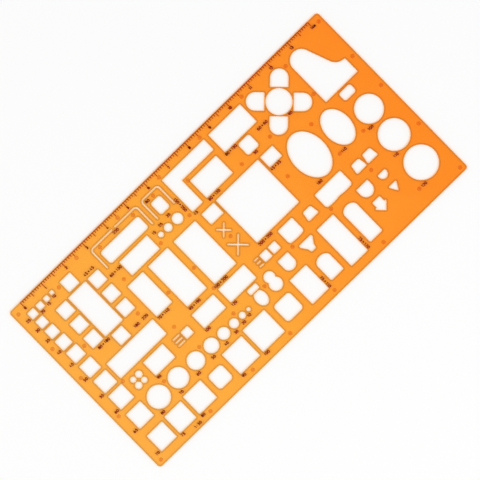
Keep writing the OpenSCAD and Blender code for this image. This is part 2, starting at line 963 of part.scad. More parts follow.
// Every cut-out of the sheet
module furniture_cuts() {
    square_cuts();
    bottom_square_cuts();
    circle_cuts();
    dining_cuts();
    round_table_cuts();
    sofa_cuts();
    corner_sofa_cuts();
    piano_cuts();
    bed_cuts();
    cross_and_oval_cuts();
    kitchen_cuts();
    crowned_seat_cuts();
    sanitary_cuts();
    bath_cuts();
    sign_cuts();
}

module template_sheet() {
    color("#FA9A32")
        translate([0, 0, riser_height])
            linear_extrude(sheet_thickness)
                difference() {
                    box_cut(middle, [sheet_length, sheet_width], sheet_corner_radius);
                    on_plan()
                        furniture_cuts();
                }
}

// Low cones under the sheet, cut flat where they stand
module ink_risers() {
    color("#D9602A")
        on_plan()
            for (row = riser_row_shares)
                for (along = row[1])
                    translate(at([along, row[0]]))
                        cylinder(h = riser_height, d1 = riser_foot_diameter, d2 = riser_diameter);
}

// One printed bar on the top face of the sheet, held at the middle of its top
module ink_bar(along, down, width, length) {
    color("#3A1710")
        on_plan()
            translate([along - width / 2, -down - length, sheet_top])
                cube([width, length, ink_thickness]);
}

// A row of marks that hang from the base line, at the given decimetres
module ink_ticks(decimetres, length) {
    for (i = decimetres)
        ink_bar(i * metre / decimetres_in_metre, base_line_inset + base_line_width, tick_width, length);
}

module scale_base_line() {
    ruler_length = ruler_metres * metre;
    ink_bar(ruler_length / 2, base_line_inset, ruler_length + tick_width, base_line_width);
}

module scale_metre_ticks() {
    ink_ticks([0 : decimetres_in_metre : ruler_metres * decimetres_in_metre], metre_tick_length);
}

module scale_half_metre_ticks() {
    half = decimetres_in_metre / 2;
    ink_ticks([half : decimetres_in_metre : ruler_metres * decimetres_in_metre], half_metre_tick_length);
}

module scale_decimetre_ticks() {
    half = decimetres_in_metre / 2;
    for (start = [1 : half - 1], side = [0, half])
        ink_ticks(
            [start + side : decimetres_in_metre : ruler_metres * decimetres_in_metre],
            decimetre_tick_length
        );
}

template_sheet();
ink_risers();
scale_base_line();
scale_metre_ticks();
scale_half_metre_ticks();
scale_decimetre_ticks();
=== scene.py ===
import logging
import math
from dataclasses import dataclass
from enum import Enum
from typing import Iterator, Sequence, Union

import bmesh
import bpy
from bpy.types import ID, Material, Mesh, Node, NodeSocket, NodeTree, Object
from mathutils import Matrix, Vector
from mathutils.bvhtree import BVHTree
from mathutils.geometry import delaunay_2d_cdt


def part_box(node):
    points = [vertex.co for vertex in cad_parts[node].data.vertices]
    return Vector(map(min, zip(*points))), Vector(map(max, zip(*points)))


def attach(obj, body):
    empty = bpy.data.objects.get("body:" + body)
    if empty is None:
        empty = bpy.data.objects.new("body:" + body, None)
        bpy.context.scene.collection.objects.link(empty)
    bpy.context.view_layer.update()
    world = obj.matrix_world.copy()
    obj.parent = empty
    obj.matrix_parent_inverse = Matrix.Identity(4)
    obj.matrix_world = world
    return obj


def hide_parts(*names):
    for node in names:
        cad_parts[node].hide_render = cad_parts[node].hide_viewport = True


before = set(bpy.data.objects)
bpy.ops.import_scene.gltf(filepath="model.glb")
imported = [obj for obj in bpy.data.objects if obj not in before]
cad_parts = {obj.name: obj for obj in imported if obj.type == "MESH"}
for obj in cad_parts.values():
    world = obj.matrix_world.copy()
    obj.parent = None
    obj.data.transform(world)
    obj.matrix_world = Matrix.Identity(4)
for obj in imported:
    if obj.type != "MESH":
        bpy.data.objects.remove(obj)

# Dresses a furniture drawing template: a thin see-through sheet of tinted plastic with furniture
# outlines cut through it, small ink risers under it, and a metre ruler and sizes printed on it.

LOG = logging.getLogger("drawing_template")
BODY = "root"
MM = 0.001
MERGE_DISTANCE = 0.001 * MM
SHEET_NODE = "template_sheet"
BASE_LINE_NODE = "scale_base_line"
METRE_MARKS_NODE = "scale_metre_ticks"
# Point attribute of painted shade: how much the sheet's tint is darkened beside every edge.
PAINTED_EDGE_SHADE = "painted_edge_shade"
# Face attribute that marks the cut walls, whose tint is darkened with painted shade.
CUT_WALL = "cut_wall"
Colour = tuple[float, float, float, float]
Feed = Union[NodeSocket, float, int, tuple]
Point = tuple[float, float]
Outline = list[Vector]


class Slot(Enum):
    """The material slots of the record."""

    SHEET = "sheet_plastic"
    RISER = "riser_plastic"
    PRINT = "print_ink"


class Turn(Enum):
    """Which way a printed size reads, as an angle in degrees."""

    ALONG = 0.0
    DOWN = -90.0


class Tree:
    """A node tree, with short calls that add its nodes and feed them."""

    def __init__(self, tree: NodeTree) -> None:
        """Keep the tree and empty it.

        Args:
            tree: The node tree to fill.
        """
        self.tree = tree
        self.tree.nodes.clear()

    def add(self, kind: str, feeds: dict[Union[str, int], Feed], **settings: object) -> Node:
        """Add one node.

        Args:
            kind: The node's type name.
            feeds: What goes into each input, by its name or number: a socket or a plain value.
            **settings: Attributes to set on the node, before its inputs are fed.

        Returns:
            The new node.
        """
        node = self.tree.nodes.new(kind)
        for name, value in settings.items():
            setattr(node, name, value)
        for key, value in feeds.items():
            if isinstance(value, NodeSocket):
                self.tree.links.new(value, node.inputs[key])
            else:
                node.inputs[key].default_value = value
        return node

    def math(self, operation: str, *values: Feed, clamp: bool = False) -> NodeSocket:
        """Add a math node.

        Args:
            operation: The name of the operation.
            *values: Its inputs, in order.
            clamp: Whether the result is kept from 0 to 1.

        Returns:
            The node's result.
        """
        node = self.add("ShaderNodeMath", dict(enumerate(values)), operation=operation, use_clamp=clamp)
        return node.outputs[0]

    def multiply(self, vector: Feed, factors: Feed) -> NodeSocket:
        """Multiply two vectors, part by part."""
        return self.add("ShaderNodeVectorMath", {0: vector, 1: factors}, operation="MULTIPLY").outputs[0]

    def noise(self, place: Feed, scale: Feed, **more: Feed) -> NodeSocket:
        """Add a noise texture.

        Args:
            place: Its coordinates.
            scale: Its scale.
            **more: What goes into its other inputs, by their names.

        Returns:
            Its value.
        """
        return self.add("ShaderNodeTexNoise", {"Vector": place, "Scale": scale, **more}).outputs[0]

    def mix_colour(self, share: Feed, first: Feed, second: Feed, blend: str = "MIX") -> NodeSocket:
        """Add a node that mixes two colours.

        Args:
            share: How much of the second colour there is.
            first: The colour at share 0.
            second: The colour at share 1.
            blend: How the second colour is laid on the first.

        Returns:
            The mixed colour.
        """
        feeds = {0: share, 6: first, 7: second}
        return self.add("ShaderNodeMix", feeds, data_type="RGBA", blend_type=blend).outputs[2]


def group_tree(name: str, kind: str, inputs: dict[str, tuple], outputs: dict[str, str]) -> Tree:
    """Make an empty node group with named sockets.

    Args:
        name: The name of the group.
        kind: The type of node tree.
        inputs: For each input, its socket type and its value, or its type alone.
        outputs: For each output, its socket type.

    Returns:
        The group as a tree to fill.
    """
    tree = bpy.data.node_groups.new(name, kind)
    for title, (socket_type, *value) in inputs.items():
        socket = tree.interface.new_socket(title, in_out="INPUT", socket_type=socket_type)
        if value:
            socket.default_value = value[0]
    for title, socket_type in outputs.items():
        tree.interface.new_socket(title, in_out="OUTPUT", socket_type=socket_type)
    return Tree(tree)


@dataclass(frozen=True)
class PlasticClouds:
    """Faint clouds in cast plastic."""

    detail: float = 3.0
    roughness: float = 0.55

    def build(self) -> NodeTree:
        """Make the shader group.

        Returns:
            A group whose Shade goes a little above and below 1 over the surface.
        """
        tree = group_tree(
            "plastic_clouds",
            "ShaderNodeTree",
            {
                "Vector": ("NodeSocketVector",),
                "Scale": ("NodeSocketFloat",),
                "Depth": ("NodeSocketFloat",),
            },
            {"Shade": "NodeSocketFloat"},
        )
        given = tree.add("NodeGroupInput", {}).outputs
        noise = tree.noise(given["Vector"], given["Scale"], Detail=self.detail, Roughness=self.roughness)
        centred = tree.math("SUBTRACT", noise, 0.5)
        shade = tree.math("MULTIPLY_ADD", centred, given["Depth"], 1.0)
        tree.add("NodeGroupOutput", {"Shade": shade})
        return tree.tree


@dataclass(frozen=True)
class HandlingMarks:
    """What handling leaves: hairline scratches in two directions, and dull patches."""

    scratch_scale: float = 90.0
    scratch_length: float = 30.0
    scratch_turns: Point = (0.35, 1.9)
    scratch_detail: float = 1.0
    scratch_level: float = 0.74
    patch_scale: float = 25.0
    patch_dullness: float = 0.5

    def build(self) -> NodeTree:
        """Make the shader group.

        Returns:
            A group with a Dullness to add to the roughness, and a Height for a Bump node.
        """
        tree = group_tree(
            "handling_marks",
            "ShaderNodeTree",
            {
                "Vector": ("NodeSocketVector",),
                "Scratch Scale": ("NodeSocketFloat", self.scratch_scale),
                "Scratch Length": ("NodeSocketFloat", self.scratch_length),
                "Patch Scale": ("NodeSocketFloat", self.patch_scale),
            },
            {"Dullness": "NodeSocketFloat", "Height": "NodeSocketFloat"},
        )
        given = tree.add("NodeGroupInput", {}).outputs
        stretch = tree.add("ShaderNodeCombineXYZ", {"X": 1.0, "Y": given["Scratch Length"], "Z": 1.0})
        strokes = []
        for turn in self.scratch_turns:
            turned = tree.add(
                "ShaderNodeMapping", {"Vector": given["Vector"], "Rotation": (0.0, 0.0, turn)}
            )
            long_way = tree.multiply(turned.outputs[0], stretch.outputs[0])
            noise = tree.noise(long_way, given["Scratch Scale"], Detail=self.scratch_detail)
            strokes.append(tree.math("GREATER_THAN", noise, self.scratch_level))
        scratches = tree.math("MAXIMUM", *strokes)
        patches = tree.noise(given["Vector"], given["Patch Scale"])
        dull_patches = tree.math("MULTIPLY", patches, self.patch_dullness)
        dullness = tree.math("MAXIMUM", dull_patches, scratches)
        height = tree.math("SUBTRACT", 0.0, scratches)
        tree.add("NodeGroupOutput", {"Dullness": dullness, "Height": height})
        return tree.tree


@dataclass(frozen=True)
class Effects:
    """The shader groups that more than one material uses."""

    clouds: NodeTree
    handling: NodeTree


def new_material(name: str) -> tuple[Material, Tree, NodeSocket]:
    """Start a material.

    Args:
        name: Its name.

    Returns:
        The material, its empty tree, and the Object coordinates in it.
    """
    material = bpy.data.materials.new(name)
    material.use_nodes = True
    tree = Tree(material.node_tree)
    return material, tree, tree.add("ShaderNodeTexCoord", {}).outputs["Object"]


@dataclass(frozen=True)
class TintedPlastic:
    """See-through tinted plastic whose tint shifts along the ruler.

    Light that falls through it is tinted as well, so the paper under it glows in its colour. Such light
    crosses two faces, and each face gives it the tint to the power of one_face.
    """

    name: str
    tints: Sequence[tuple[float, Colour]]
    # Painted shade laid on the tint beside every edge.
    dim_tint: Colour = (0.79, 0.79, 0.97, 1.0)
    # Painted shade laid on the tint of the cut walls.
    wall_tint: Colour = (0.93, 0.62, 0.40, 1.0)
    one_face: float = 0.5
    refraction: float = 1.49
    cloud_scale: float = 45.0
    cloud_depth: float = 0.12
    least_roughness: float = 0.03
    roughness_span: float = 0.08
    scratch_strength: float = 0.3
    scratch_depth: float = 0.002 * MM

    def build(self, effects: Effects) -> Material:
        """Make the material.

        Args:
            effects: The shared shader groups.

        Returns:
            The material.
        """
        material, tree, place = new_material(self.name)
        tint = self.tint(tree, place, effects)
        marks = tree.add("ShaderNodeGroup", {"Vector": place}, node_tree=effects.handling)
        roughness = tree.math(
            "MULTIPLY_ADD", marks.outputs["Dullness"], self.roughness_span, self.least_roughness
        )
        bump = tree.add(
            "ShaderNodeBump",
            {
                "Height": marks.outputs["Height"],
                "Strength": self.scratch_strength,
                "Distance": self.scratch_depth,
            },
        )
        solid = tree.add(
            "ShaderNodeBsdfPrincipled",
            {
                "Base Color": tint,
                "Roughness": roughness,
                "IOR": self.refraction,
                "Transmission Weight": 1.0,
                "Normal": bump.outputs[0],
            },
        )
        face_tint = tree.add("ShaderNodeGamma", {"Color": tint, "Gamma": self.one_face})
        clear = tree.add("ShaderNodeBsdfTransparent", {"Color": face_tint.outputs[0]})
        path = tree.add("ShaderNodeLightPath", {}).outputs
        passes = tree.math("MAXIMUM", path["Is Shadow Ray"], path["Is Diffuse Ray"])
        mixed = tree.add("ShaderNodeMixShader", {0: passes, 1: solid.outputs[0], 2: clear.outputs[0]})
        tree.add("ShaderNodeOutputMaterial", {"Surface": mixed.outputs[0]})
        return material

    def tint(self, tree: Tree, place: NodeSocket, effects: Effects) -> NodeSocket:
        """Mix the tint from its shift along the ruler and its clouds, darkened by painted shade beside its
        edges and on its cut walls.

        Args:
            tree: The material's tree.
            place: Object coordinates.
            effects: The shared shader groups.

        Returns:
            The tint of one way through the plastic.
        """
        along = tree.add("ShaderNodeSeparateXYZ", {0: place}).outputs["X"]
        half_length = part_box(SHEET_NODE)[1].x
        share = tree.add(
            "ShaderNodeMapRange", {"Value": along, "From Min": -half_length, "From Max": half_length}
        )
        ramp = tree.add("ShaderNodeValToRGB", {"Fac": share.outputs[0]})
        stops = ramp.color_ramp.elements
        for number, (position, colour) in enumerate(self.tints):
            stop = stops[number] if number < len(stops) else stops.new(position)
            stop.position = position
            stop.color = colour
        clouds = tree.add(
            "ShaderNodeGroup",
            {"Vector": place, "Scale": self.cloud_scale, "Depth": self.cloud_depth},
            node_tree=effects.clouds,
        )
        power = tree.add("ShaderNodeGamma", {"Color": ramp.outputs[0], "Gamma": clouds.outputs["Shade"]})
        tint = power.outputs[0]
        # Painted shade: the tint is darkened beside every edge and on the cut walls.
        for attribute, shade in ((PAINTED_EDGE_SHADE, self.dim_tint), (CUT_WALL, self.wall_tint)):
            amount = tree.add("ShaderNodeAttribute", {}, attribute_name=attribute).outputs["Fac"]
            tint = tree.mix_colour(amount, tint, shade, "MULTIPLY")
        return tint


SHEET_PLASTIC = TintedPlastic(
    name="tinted_sheet_plastic",
    tints=(
        (0.0, (1.0, 0.617, 0.172, 1.0)),
        (0.40, (1.0, 0.595, 0.137, 1.0)),
        (0.62, (1.0, 0.528, 0.098, 1.0)),
        (1.0, (1.0, 0.463, 0.064, 1.0)),
    ),
)
# The risers are the sheet's own plastic. Their tint, laid over the sheet's, is painted shade that darkens
# the rings where they show through the sheet.
SHADED_RISER_PLASTIC = TintedPlastic(
    name="riser_plastic_with_painted_shade",
    tints=((0.0, (0.91, 0.75, 0.71, 1.0)), (1.0, (0.91, 0.73, 0.69, 1.0))),
    refraction=1.2,
    cloud_scale=900.0,
    cloud_depth=2.0,
)


@dataclass(frozen=True)
class PrintInk:
    """Screen printed ink: dark, matt and a little uneven in density."""

    name: str
    dense: Colour
    thin: Colour
    shine: float = 0.12
    grain_scale: float = 1800.0
    grain_detail: float = 2.0
    grain_range: Point = (0.45, 0.75)
    least_roughness: float = 0.45
    roughness_span: float = 0.25

    def build(self, effects: Effects) -> Material:
        """Make the material.

        Args:
            effects: The shared shader groups.

        Returns:
            The material.
        """
        material, tree, place = new_material(self.name)
        grain = tree.noise(place, self.grain_scale, Detail=self.grain_detail)
        low, high = self.grain_range
        density = tree.add("ShaderNodeMapRange", {"Value": grain, "From Min": low, "From Max": high})
        colour = tree.mix_colour(density.outputs[0], self.dense, self.thin)
        marks = tree.add("ShaderNodeGroup", {"Vector": place}, node_tree=effects.handling)
        roughness = tree.math(
            "MULTIPLY_ADD", marks.outputs["Dullness"], self.roughness_span, self.least_roughness
        )
        solid = tree.add(
            "ShaderNodeBsdfPrincipled",
            {"Base Color": colour, "Roughness": roughness, "Specular IOR Level": self.shine},
        )
        tree.add("ShaderNodeOutputMaterial", {"Surface": solid.outputs[0]})
        return material


NUMBER_INK = PrintInk("printed_ink", (0.26, 0.003, 0.001, 1.0), (0.40, 0.008, 0.003, 1.0))
LINE_INK = PrintInk("printed_line_ink", (0.41, 0.006, 0.001, 1.0), (0.54, 0.012, 0.003, 1.0))


@dataclass(frozen=True)
class PaleFloor:
    """Matt white board. What the camera, gloss and glass see of it is lifted to full white."""

    name: str = "pale_board"
    colour: Colour = (0.93, 0.93, 0.93, 1.0)
    lift: float = 0.095
    lift_through_glass: float = 0.085
    roughness: float = 0.9
    grain_scale: float = 400.0
    grain_depth: float = 0.01

    def build(self) -> Material:
        """Make the material.

        Returns:
            The material.
        """
        material, tree, place = new_material(self.name)
        grain = tree.noise(place, self.grain_scale)
        darker = tuple(channel - self.grain_depth for channel in self.colour[:3]) + (1.0,)
        colour = tree.mix_colour(grain, self.colour, darker)
        path = tree.add("ShaderNodeLightPath", {}).outputs
        seen = tree.math("MAXIMUM", path["Is Camera Ray"], path["Is Glossy Ray"])
        through = tree.math("MULTIPLY", path["Is Transmission Ray"], self.lift_through_glass)
        lift = tree.math("MULTIPLY_ADD", seen, self.lift, through)
        solid = tree.add(
            "ShaderNodeBsdfPrincipled",
            {
                "Base Color": colour,
                "Roughness": self.roughness,
                "Specular IOR Level": 0.0,
                "Emission Color": (1.0, 1.0, 1.0, 1.0),
                "Emission Strength": lift,
            },
        )
        tree.add("ShaderNodeOutputMaterial", {"Surface": solid.outputs[0]})
        return material


def new_object(name: str, data: ID) -> Object:
    """Link new data into the scene as an object at the origin.

    Args:
        name: The object's name.
        data: Its mesh or curve.

    Returns:
        The object.
    """
    piece = bpy.data.objects.new(name, data)
    bpy.context.scene.collection.objects.link(piece)
    return piece


def baked(source: Object, name: str) -> Object:
    """Turn an object with live modifiers, or a curve, into a plain mesh piece of its own.

    Args:
        source: The object to evaluate. It is removed.
        name: The name of the piece.

    Returns:
        The piece.
    """
    bpy.context.view_layer.update()
    depsgraph = bpy.context.evaluated_depsgraph_get()
    mesh = bpy.data.meshes.new_from_object(source.evaluated_get(depsgraph), depsgraph=depsgraph)
    bpy.data.objects.remove(source)
    mesh.name = name
    return new_object(name, mesh)


def seat(piece: Object, slot: Slot, replaces: Sequence[str] = ()) -> None:
    """Fix a finished piece to the object's one body and report it.

    Args:
        piece: The finished piece.
        slot: The record's slot for its finish; not used.
        replaces: CAD nodes that it stands for.
    """
    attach(piece, BODY)
    if replaces:
        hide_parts(*replaces)
    triangles = sum(len(face.vertices) - 2 for face in piece.data.polygons)
    LOG.info("%s: %d triangles, %d mm wide", piece.name, triangles, piece.dimensions.x / MM)


def give_modifier(piece: Object, tree: NodeTree, values: dict[str, object]) -> None:
    """Put a geometry tree on an object and set its inputs by their identifiers.

    Args:
        piece: The object.
        tree: The geometry tree.
        values: A value for each named input.
    """
    modifier = piece.modifiers.new(tree.name, "NODES")
    modifier.node_group = tree
    for item in tree.interface.items_tree:
        if item.item_type == "SOCKET" and item.in_out == "INPUT" and item.name in values:
            modifier[item.identifier] = values[item.name]


def dressed(tree: Tree, geometry: NodeSocket, material: NodeSocket) -> NodeTree:
    """End a geometry tree with plain, flat shaded meshes in their material.

    Args:
        tree: The tree.
        geometry: What it makes.
        material: Their material.

    Returns:
        The finished geometry tree.
    """
    real = tree.add("GeometryNodeRealizeInstances", {"Geometry": geometry})
    flat = tree.add("GeometryNodeSetShadeSmooth", {0: real.outputs[0], "Shade Smooth": False})
    last = tree.add("GeometryNodeSetMaterial", {"Geometry": flat.outputs[0], "Material": material})
    tree.add("NodeGroupOutput", {"Geometry": last.outputs[0]})
    return tree.tree


def islands(node: str) -> Iterator[list[Vector]]:
    """Part a node of the frame into its loose pieces.

    Args:
        node: The node's name.

    Yields:
        The points of each piece.
    """
    copy = bmesh.new()
    copy.from_mesh(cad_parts[node].data)
    bmesh.ops.remove_doubles(copy, verts=copy.verts[:], dist=MERGE_DISTANCE)
    seen = set()
    for start in copy.verts:
        if start in seen:
            continue
        seen.add(start)
        island = [start]
        for vertex in island:
            for edge in vertex.link_edges:
                other = edge.other_vert(vertex)
                if other not in seen:
                    seen.add(other)
                    island.append(other)
        yield [vertex.co.copy() for vertex in island]
    copy.free()


@dataclass
class TemplateSheet:
    """The plate, with its rims eased as the cutter leaves them.

    Light that enters near an edge is bent out of the plate, which shows as a dim line beside every edge.
    That line is painted shade: rows of points beside the outlines carry how much painted shade darkens
    the tint there. Down each side of the plate lie three faces, a rim, the cut wall and a rim, and
    side_walls marks the wall, whose tint is darkened with painted shade as well.
    """

    node: str = SHEET_NODE
    name: str = "see_through_sheet"
    rim: float = 0.12 * MM
    print_gap: float = 0.004 * MM
    side_walls: tuple[float, ...] = (0.0, 1.0, 0.0)
    flat_share: float = 0.999
    arc_error: float = 0.008 * MM
    alike_share: float = 0.02
    arc_turns: Point = (math.radians(4.0), math.radians(60.0))
    row_step: float = 2.0 * MM
    # Where the painted shade beside the edges starts, and the rows of points that carry it.
    dim_from: float = 0.2 * MM
    rows: tuple[float, ...] = (0.5 * MM, 0.85 * MM, 1.35 * MM)
    kept_share: float = 0.88
    longest_mitre: float = 3.0

    def outlines(self) -> list[Outline]:
        """Follow the edges of the plate's top face, with the plastic always on the left.

        Returns:
            One closed list of points for the outer edge and for each cut-out.
        """
        copy = bmesh.new()
        copy.from_mesh(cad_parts[self.node].data)
        bmesh.ops.remove_doubles(copy, verts=copy.verts[:], dist=MERGE_DISTANCE)
        top = max(vertex.co.z for vertex in copy.verts)
        flat = [
            face
            for face in copy.faces
            if face.normal.z > self.flat_share and face.calc_center_median().z > top - MERGE_DISTANCE
        ]
        all_flat = set(flat)
        following = {
            corner.vert: corner.link_loop_next.vert
            for face in flat
            for corner in face.loops
            if sum(other in all_flat for other in corner.edge.link_faces) == 1
        }
        loops = []
        while following:
            first, current = following.popitem()
            loop = [first.co.to_2d()]
            while current is not first:
                loop.append(current.co.to_2d())
                current = following.pop(current)
            loops.append(self.refined(loop))
        copy.free()
        return loops

    def refined(self, loop: Outline) -> Outline:
        """Put more points on the arcs of an outline, which are runs of steps of one length and turn.

        Args:
            loop: A closed outline.

        Returns:
            The outline with its arcs refined.
        """
        count = len(loop)
        steps = [loop[(place + 1) % count] - loop[place] for place in range(count)]
        turns = [-steps[place - 1].angle_signed(steps[place]) for place in range(count)]
        points = []
        for place, step in enumerate(steps):
            points.append(loop[place])
            after = (place + 1) % count
            beside = ((steps[place - 1], turns[place]), (steps[after], turns[after]))
            alike = [
                turn
                for other, turn in beside
                if abs(other.length / step.length - 1.0) < self.alike_share
                and self.arc_turns[0] < abs(turn) < self.arc_turns[1]
            ]
            if alike:
                points += self.on_arc(loop[place], step, max(alike, key=abs))
        return points

    def on_arc(self, start: Vector, step: Vector, turn: float) -> Iterator[Vector]:
        """Find the points that refine one step of an arc.

        Args:
            start: Where the step starts.
            step: The step.
            turn: The angle that the arc turns by in the step, positive to the left.

        Yields:
            The points between the step's ends.
        """
        half = abs(turn) / 2
        radius = step.length / 2 / math.sin(half)
        parts = math.ceil(math.sqrt(radius * (1.0 - math.cos(half)) / self.arc_error))
        along = step.normalized()
        inward = Vector((-along.y, along.x)) * math.copysign(1.0, turn)
        centre = start + step / 2 + inward * radius * math.cos(half)
        for part in range(1, parts):
            angle = half * (2 * part / parts - 1)
            yield centre + (along * math.sin(angle) - inward * math.cos(angle)) * radius

    def inset(self, loop: Outline, depth: float) -> Outline:
        """Move an outline into the plastic.

        Args:
            loop: The closed outline.
            depth: How far it moves.

        Returns:
            A point for each point of the outline.
        """
        count = len(loop)
        normals = []
        for place in range(count):
            along = (loop[(place + 1) % count] - loop[place]).normalized()
            normals.append(Vector((-along.y, along.x)))
        moved = []
        for place in range(count):
            before, after = normals[place - 1], normals[place]
            mitre = (before + after) / max(1.0 + before.dot(after), MERGE_DISTANCE)
            moved.append(loop[place] + mitre * min(1.0, self.longest_mitre / mitre.length) * depth)
        return moved

    def walls(self, loops: list[Outline]) -> BVHTree:
        """Stand a wall on every outline, to measure from.

        Args:
            loops: The outlines.

        Returns:
            The tree of walls.
        """
        points, faces = [], []
        for loop in loops:
            first, count = len(points), 2 * len(loop)
            points += [(*place, height) for place in loop for height in (-MM, MM)]
            for corner in range(0, count, 2):
                after = (corner + 2) % count
                faces.append((first + corner, first + after, first + after + 1, first + corner + 1))
        return BVHTree.FromPolygons(points, faces)

    def dimness(self, depth: float) -> float:
        """Work out how much painted shade darkens the plastic beside an edge.

        Args:
            depth: How far the place is from its nearest edge.

        Returns:
            From 0 where there is no painted shade to 1 where it is darkest.
        """
        full, fading, clear = self.rows
        rise = (depth - self.dim_from) / (full - self.dim_from)
        fall = (clear - depth) / (clear - fading)
        return max(0.0, min(1.0, rise, fall))

    def row_edges(self, loop: Outline, depth: float, walls: BVHTree) -> Iterator[tuple[Vector, Vector]]:
        """Lay one row of points beside an outline, as far as no other outline is nearer.

        Args:
            loop: The outline.
            depth: The row's distance from it.
            walls: What the distances are measured from.

        Yields:
            The two ends of each stretch of the row.
        """
        finer = []
        for place, point in enumerate(loop):
            step = loop[(place + 1) % len(loop)] - point
            parts = math.ceil(step.length / self.row_step)
            finer += [point + step * part / parts for part in range(parts)]
        row = self.inset(finer, depth)
        kept = [walls.find_nearest(place.to_3d())[3] > self.kept_share * depth for place in row]
        for place in range(len(row)):
            if kept[place - 1] and kept[place]:
                yield row[place - 1], row[place]

    def cap(self, loops: list[Outline], walls: BVHTree) -> tuple[list[Vector], list[list[int]], list[int]]:
        """Fill the plate's flat face with triangles that follow the rows.

        Args:
            loops: The outlines.
            walls: What distances are measured from.

        Returns:
            The points, the triangles among them, and for each point of the outlines its number in them.
        """
        places, edges, owners = [], [], []
        for number, loop in enumerate(loops):
            first, count = len(places), len(loop)
            places += [place / MM for place in self.inset(loop, self.rim)]
            edges += [(first + place, first + (place + 1) % count) for place in range(count)]
            owners += [number] * count
        on_outlines = len(places)
        for loop in loops:
            for depth in self.rows:
                for ends in self.row_edges(loop, depth, walls):
                    edges.append((len(places), len(places) + 1))
                    places += [end / MM for end in ends]
        points, _, faces, sources, _, _ = delaunay_2d_cdt(places, edges, [], 0, MERGE_DISTANCE / MM)
        numbers = {source: number for number, group in enumerate(sources) for source in group}
        outline_of = {
            number: min(group)
            for number, group in enumerate(sources)
            if group and min(group) < on_outlines
        }
        kept = [face for face in faces if self.is_plastic(face, points, outline_of, owners)]
        rim_numbers = [numbers[place] for place in range(on_outlines)]
        return [point * MM for point in points], kept, rim_numbers

    def is_plastic(
        self,
        face: Sequence[int],
        points: Sequence[Vector],
        outline_of: dict[int, int],
        owners: Sequence[int],
    ) -> bool:
        """Tell whether a triangle is in the plastic and not in a cut-out.

        A triangle with all its corners on one outline is in the plastic where it turns left in the
        outline's order.

        Args:
            face: The triangle.
            points: All points.
            outline_of: For each point that is on an outline, its place in the outlines' order.
            owners: For each place in that order, the number of its outline.

        Returns:
            True in the plastic.
        """
        order = sorted(outline_of[corner] for corner in face if corner in outline_of)
        if len(order) < 3 or owners[order[0]] != owners[order[-1]]:
            return True
        first, second, third = (points[corner] for corner in sorted(face, key=outline_of.get))
        return (second - first).cross(third - first) > 0.0

    def sides(
        self, loops: list[Outline], rim_numbers: Sequence[int], flat_count: int
    ) -> Iterator[tuple[int, ...]]:
        """Join the lower flat face to the upper one along every outline.

        Args:
            loops: The outlines.
            rim_numbers: For each point of the outlines, its number in a flat face.
            flat_count: How many points a flat face has.

        Yields:
            The corners of each face.
        """
        upper = 2 * flat_count
        lower = upper + len(rim_numbers)
        first = 0
        for loop in loops:
            for place in range(len(loop)):
                ends = (first + place, first + (place + 1) % len(loop))
                one, two = (
                    (rim_numbers[end] + flat_count, lower + end, upper + end, rim_numbers[end])
                    for end in ends
                )
                for row in range(len(self.side_walls)):
                    yield one[row], two[row], two[row + 1], one[row + 1]
            first += len(loop)

    def build(self, finish: Material) -> Object:
        """Make the plate as one closed mesh.

        Args:
            finish: Its material.

        Returns:
            The piece.
        """
        low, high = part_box(self.node)
        top = high.z - self.print_gap
        loops = self.outlines()
        walls = self.walls(loops)
        flat, triangles, rim_numbers = self.cap(loops, walls)
        edge = [place for loop in loops for place in loop]
        levels = ((flat, top), (flat, low.z), (edge, top - self.rim), (edge, low.z + self.rim))
        points = [(*place, height) for places, height in levels for place in places]
        faces = [tuple(face) for face in triangles]
        faces += [tuple(corner + len(flat) for corner in reversed(face)) for face in triangles]
        sides = list(self.sides(loops, rim_numbers, len(flat)))
        mesh = bpy.data.meshes.new(self.name)
        mesh.from_pydata(points, [], faces + sides)
        mesh.polygons.foreach_set("use_smooth", [False] * len(faces) + [True] * len(sides))
        # Painted shade beside the edges, the same on both flat faces.
        dimness = [self.dimness(walls.find_nearest(place.to_3d())[3]) for place in flat]
        edge_shade_layer = mesh.attributes.new(PAINTED_EDGE_SHADE, "FLOAT", "POINT")
        edge_shade_layer.data.foreach_set("value", dimness * 2 + [0.0] * (2 * len(edge)))
        # Painted shade: the cut walls are marked so that their tint is darkened.
        columns = len(sides) // len(self.side_walls)
        wall = mesh.attributes.new(CUT_WALL, "FLOAT", "FACE")
        wall.data.foreach_set("value", [0.0] * len(faces) + list(self.side_walls) * columns)
        mesh.materials.append(finish)
        self.report(mesh, len(loops) - 1)
        return new_object(self.name, mesh)

    def report(self, mesh: Mesh, cut_outs: int) -> None:
        """Log the plate's volume, and whether its mesh is closed.

        Args:
            mesh: The plate's mesh.
            cut_outs: How many cut-outs it has.
        """
        shell = bmesh.new()
        shell.from_mesh(mesh)
        open_edges = sum(not edge.is_manifold for edge in shell.edges)
        volume = shell.calc_volume(signed=True) / MM**3
        LOG.info("sheet: %d cut-outs, %.1f mm3, %d open edges", cut_outs, volume, open_edges)
        shell.free()


